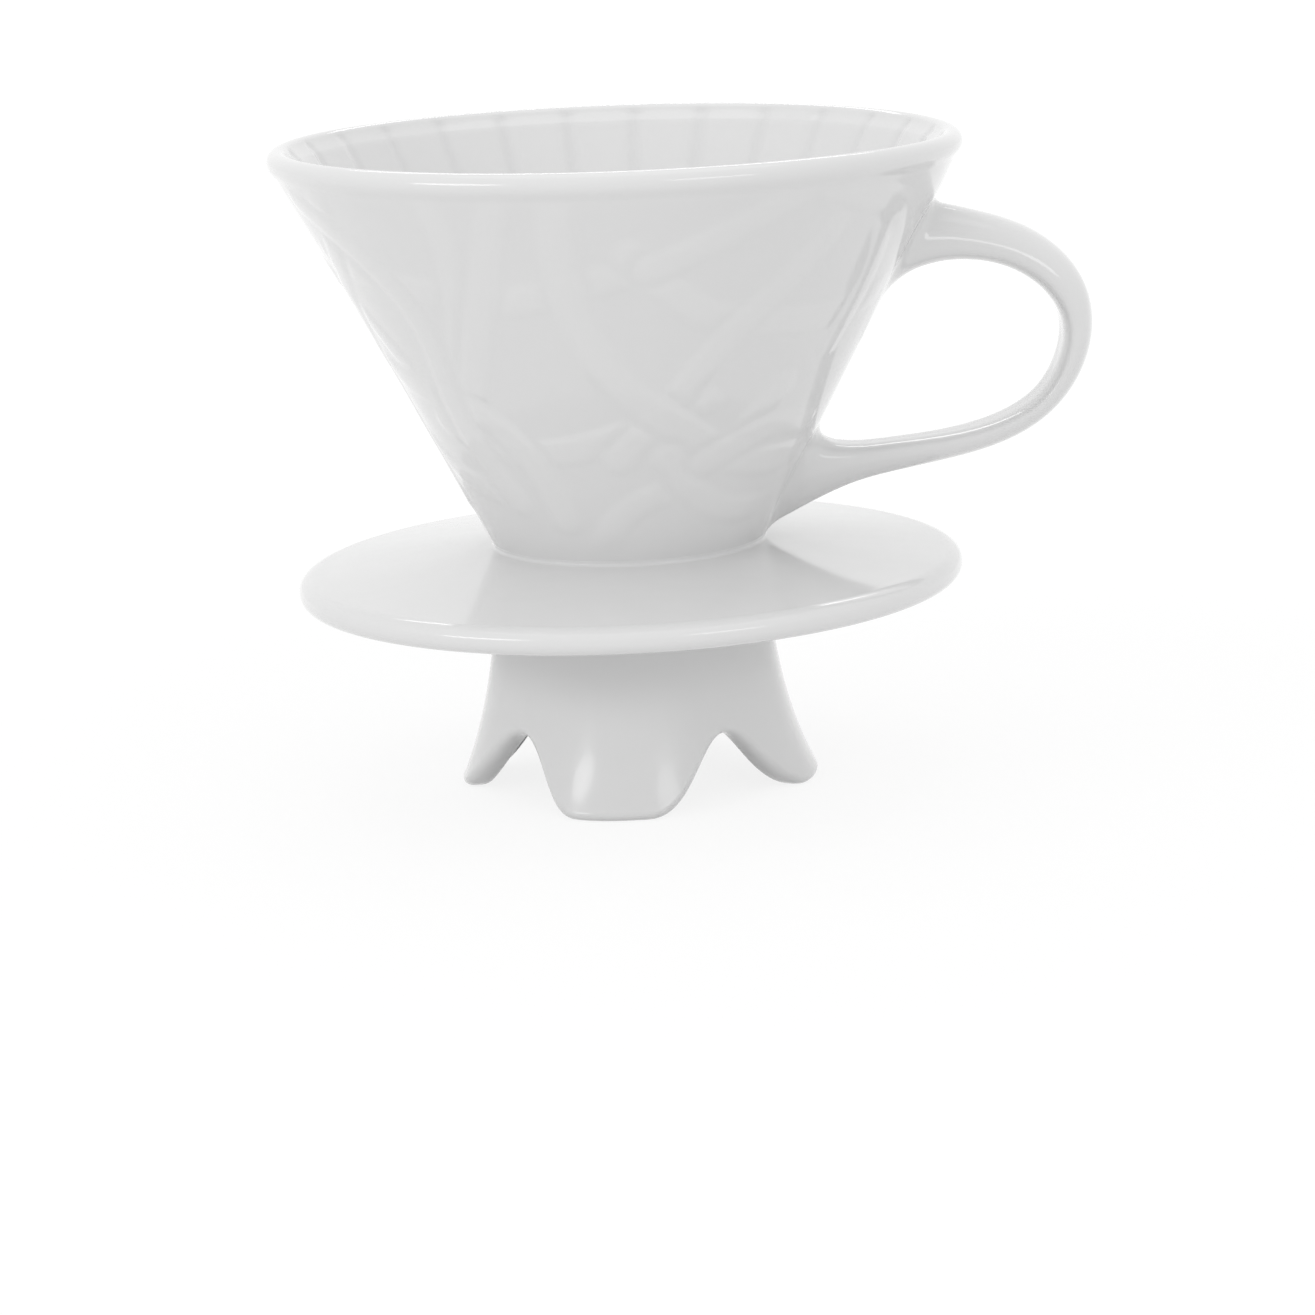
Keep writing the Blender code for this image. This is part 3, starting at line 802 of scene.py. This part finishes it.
def plain_stage(name, tone, lift):
    """A matt sheet that looks white to the lens and to the glaze, with its shadows."""
    material = bpy.data.materials.new(name)
    material.use_nodes = True
    tree = material.node_tree
    tree.nodes.clear()
    start = Wire(tree)
    place = start.node("ShaderNodeTexCoord", {}, {}, output="Object")
    far = start.node("ShaderNodeVectorMath", {"operation": "LENGTH"}, {0: place}, output="Value")
    cleared = start.node("ShaderNodeMapRange", {"interpolation_type": "SMOOTHSTEP"}, {
        "Value": far, "From Min": 0.12, "From Max": 0.45, "To Min": lift, "To Max": 1.0})
    matt = start.node("ShaderNodeBsdfDiffuse", {}, {"Color": (tone, tone, tone, 1)})
    bright = start.node("ShaderNodeEmission", {}, {"Color": (1, 1, 1, 1), "Strength": 1.06})
    white = looked_at(start) * cleared
    mixed = start.node("ShaderNodeMixShader", {}, {0: white, 1: matt, 2: bright})
    start.node("ShaderNodeOutputMaterial", {}, {"Surface": mixed})
    return material


floor_half = 3.0
floor_mesh = bpy.data.meshes.new("floor")
floor_mesh.from_pydata([(x, y, skirt_low.z) for x, y in (
    (-floor_half, -floor_half), (floor_half, -floor_half),
    (floor_half, floor_half), (-floor_half, floor_half))], [], [(0, 1, 2, 3)])
floor = bpy.data.objects.new("floor", floor_mesh)
bpy.context.scene.collection.objects.link(floor)
floor_mesh.materials.append(plain_stage("floor_white", 0.80, 0.80))

world = bpy.data.worlds.new("studio")
world.use_nodes = True
world.node_tree.nodes.clear()
sky = Wire(world.node_tree)
ambient = 0.825
sky_strength = ambient + looked_at(sky) * (1 - ambient)
background = sky.node("ShaderNodeBackground", {}, {
    "Color": (1, 1, 1, 1), "Strength": sky_strength})
sky.node("ShaderNodeOutputWorld", {}, {"Surface": background})
bpy.context.scene.world = world

middle = Vector((axis.x, axis.y, rim_z / 2))
# name, place from the middle of the dripper, width and height, power in watts
lamps = [("left_lamp", (-0.71, -0.55, 0.33), (0.54, 0.20), 1.15),
         ("right_lamp", (0.46, -0.77, 0.35), (0.48, 0.20), 0.62),
         ("top_lamp", (0.0, 0.10, 0.90), (0.90, 0.70), 0.75),
         ("back_lamp", (0.0, 0.78, 0.58), (0.60, 0.12), 0.45)]
for name, place, (width, height), watts in lamps:
    light = bpy.data.lights.new(name, "AREA")
    light.shape = "ELLIPSE"
    light.size, light.size_y = width, height
    light.energy = watts
    lamp = bpy.data.objects.new(name, light)
    lamp.location = middle + Vector(place)
    lamp.rotation_euler = (-Vector(place)).to_track_quat("-Z", "Y").to_euler()
    bpy.context.scene.collection.objects.link(lamp)

camera_data = bpy.data.cameras.new("camera")
camera_data.lens = 110.6
camera_data.sensor_width = 36
camera = bpy.data.objects.new("camera", camera_data)
eye = Vector((axis.x, -0.6768, 0.1770))
aim = Vector((axis.x + 0.0040, 0, 0.0208))
lean = Matrix.Rotation(math.radians(-2.22), 4, "Z")
camera.matrix_world = (Matrix.Translation(eye)
                       @ (aim - eye).to_track_quat("-Z", "Y").to_matrix().to_4x4() @ lean)
bpy.context.scene.collection.objects.link(camera)
bpy.context.scene.camera = camera
bpy.context.scene.view_settings.view_transform = "Standard"
